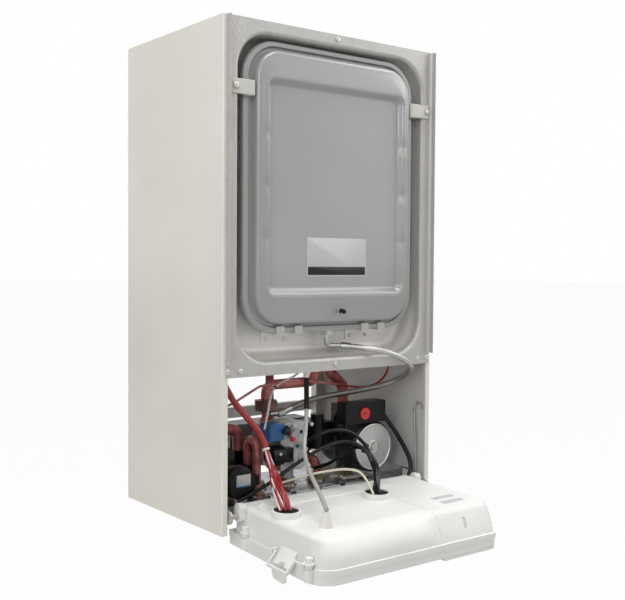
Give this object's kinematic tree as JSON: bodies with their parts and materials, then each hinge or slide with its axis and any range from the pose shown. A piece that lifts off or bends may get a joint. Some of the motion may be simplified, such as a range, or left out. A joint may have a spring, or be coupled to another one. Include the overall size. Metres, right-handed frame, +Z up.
{
  "type": "combi boiler",
  "caption": "Wall-hung combi boiler with its front cover off, showing the expansion vessel on the sealed chamber, the pump bay and a hinged control box folded down.",
  "frame": {"origin": "on the wall plane, midway across the bottom edge of the casing", "axes": "+X to the right of someone facing the boiler, +Y into the wall, +Z up"},
  "size_m": [0.44, 0.5161, 0.8631],
  "materials": {
    "casing_paint": "satin white lacquer",
    "galvanised": "galvanised sheet",
    "grey_paint": "semi-gloss grey",
    "diaphragm_rubber": "matt",
    "brass": "machined",
    "white_plastic": "satin moulding",
    "cream_plastic": "satin moulding",
    "black_plastic": "satin moulding",
    "black_knobs": "satin moulding",
    "grey_plastic": "satin moulding",
    "dial_red": "satin moulding",
    "cable_red": "braided sleeve",
    "cable_black": "satin",
    "drain_clear": "translucent",
    "steel_braid": "woven wire",
    "stainless": "rolled",
    "copper": "tarnished copper",
    "bare_aluminium": "cast",
    "coil_blue": "satin moulding",
    "pump_paint": "dark grey coat",
    "pump_silver": "spun",
    "zinc_screws": "zinc plated",
    "board_green": "lacquered board",
    "window_glass": "clear"
  },
  "bodies": {
    "casing": {"air_vent": "black_plastic", "braided_hose": "steel_braid", "burner": "bare_aluminium", "chamber_case": "galvanised", "chamber_front_plate": "galvanised", "combustion_chamber": "galvanised", "connection_tails": "brass", "diverter_actuator": "black_plastic", "drain_tube": "drain_clear", "fan_housing": "bare_aluminium", "flow_group": "black_plastic", "flue_collar": "stainless", "gas_coils": "coil_blue", "gas_pipe": "copper", "gas_valve": "bare_aluminium", "heat_exchanger": "copper", "hinge_brackets": "galvanised", "hose_fittings": "zinc_screws", "panel_screws": "zinc_screws", "pipe_tray": "galvanised", "plate_exchanger": "stainless", "pump_cap": "pump_silver", "pump_electronics": "black_plastic", "pump_motor": "pump_paint", "pump_volute": "pump_paint", "rear_frame": "galvanised", "red_loom": "cable_red", "return_group": "black_plastic", "side_panel_left": "casing_paint", "side_panel_right": "casing_paint", "stay_rod": "stainless", "top_panel": "casing_paint", "union_nuts": "brass", "vessel_brackets": "galvanised", "vessel_clips": "white_plastic", "vessel_diaphragm": "diaphragm_rubber", "vessel_front_pan": "grey_paint", "vessel_rear_pan": "grey_paint", "vessel_valve": "brass", "water_pipes": "copper", "wiring_leads": "cable_black"},
    "control_box": {"control_rear_cover": "white_plastic", "terminal_cover": "white_plastic", "cable_inserts": "black_plastic", "cone_boot": "cream_plastic", "control_front_shell": "white_plastic", "circuit_board": "board_green", "display_window": "window_glass", "pressure_gauge": "window_glass"},
    "side_bail": {"side_bail": "white_plastic"},
    "heating_knob": {"heating_knob": "black_knobs"},
    "water_knob": {"water_knob": "black_knobs"},
    "mode_button": {"mode_button": "grey_plastic"},
    "reset_button": {"reset_button": "grey_plastic"},
    "pump_dial": {"pump_dial": "dial_red"},
    "pump_vent_screw": {"pump_vent_screw": "pump_silver"},
    "pump_impeller": {"pump_impeller": "grey_plastic"},
    "fan_impeller": {"fan_impeller": "bare_aluminium"},
    "safety_valve_knob": {"safety_valve_knob": "black_knobs"},
    "filling_tap_knob": {"filling_tap_knob": "black_knobs"}
  },
  "joints": [
    {"name": "control_box_fold", "type": "hinge", "parent": "casing", "child": "control_box", "pos_m": [0, -0.31486, 0.02788], "axis": [-1, 0, 0], "range_deg": [0, 92.75], "deforming": ["red_loom", "wiring_leads", "drain_tube"]},
    {"name": "side_bail_swing", "type": "hinge", "parent": "control_box", "child": "side_bail", "pos_m": [-0.1885, -0.43842, -0.00508], "axis": [0, 0.9988, 0.048], "range_deg": [0, 55]},
    {"name": "heating_knob_turn", "type": "hinge", "parent": "control_box", "child": "heating_knob", "pos_m": [-0.095, -0.38999, -0.03379], "axis": [0, 0.048, -0.9988], "range_deg": [-140, 140]},
    {"name": "water_knob_turn", "type": "hinge", "parent": "control_box", "child": "water_knob", "pos_m": [0.095, -0.38999, -0.03379], "axis": [0, 0.048, -0.9988], "range_deg": [-140, 140]},
    {"name": "mode_button_press", "type": "slide", "parent": "control_box", "child": "mode_button", "axis": [0, -0.048, 0.9988], "range_m": [0, 0.0025], "stiffness_N_per_m": 300, "springref_m": -0.001},
    {"name": "reset_button_press", "type": "slide", "parent": "control_box", "child": "reset_button", "axis": [0, -0.048, 0.9988], "range_m": [0, 0.0025], "stiffness_N_per_m": 300, "springref_m": -0.001},
    {"name": "pump_dial_turn", "type": "hinge", "parent": "casing", "child": "pump_dial", "pos_m": [0.112, -0.26, 0.154], "axis": [0, -1, 0], "range_deg": [-20, 240]},
    {"name": "pump_vent_turn", "type": "hinge", "parent": "casing", "child": "pump_vent_screw", "pos_m": [0.141, -0.254, 0.09], "axis": [0, -1, 0], "range_deg": [0, 350]},
    {"name": "pump_rotor_spin", "type": "hinge", "parent": "casing", "child": "pump_impeller", "pos_m": [0.141, -0.18, 0.09], "axis": [0, -1, 0], "continuous": true},
    {"name": "fan_rotor_spin", "type": "hinge", "parent": "casing", "child": "fan_impeller", "pos_m": [0, -0.15, 0.65], "axis": [0, -1, 0], "continuous": true},
    {"name": "safety_valve_turn", "type": "hinge", "parent": "casing", "child": "safety_valve_knob", "pos_m": [-0.17, -0.2, 0.106], "axis": [0, 0, 1], "range_deg": [0, 90]},
    {"name": "filling_tap_turn", "type": "hinge", "parent": "casing", "child": "filling_tap_knob", "pos_m": [-0.108, -0.226, 0], "axis": [0, 0, 1], "range_deg": [0, 270]}
  ]
}
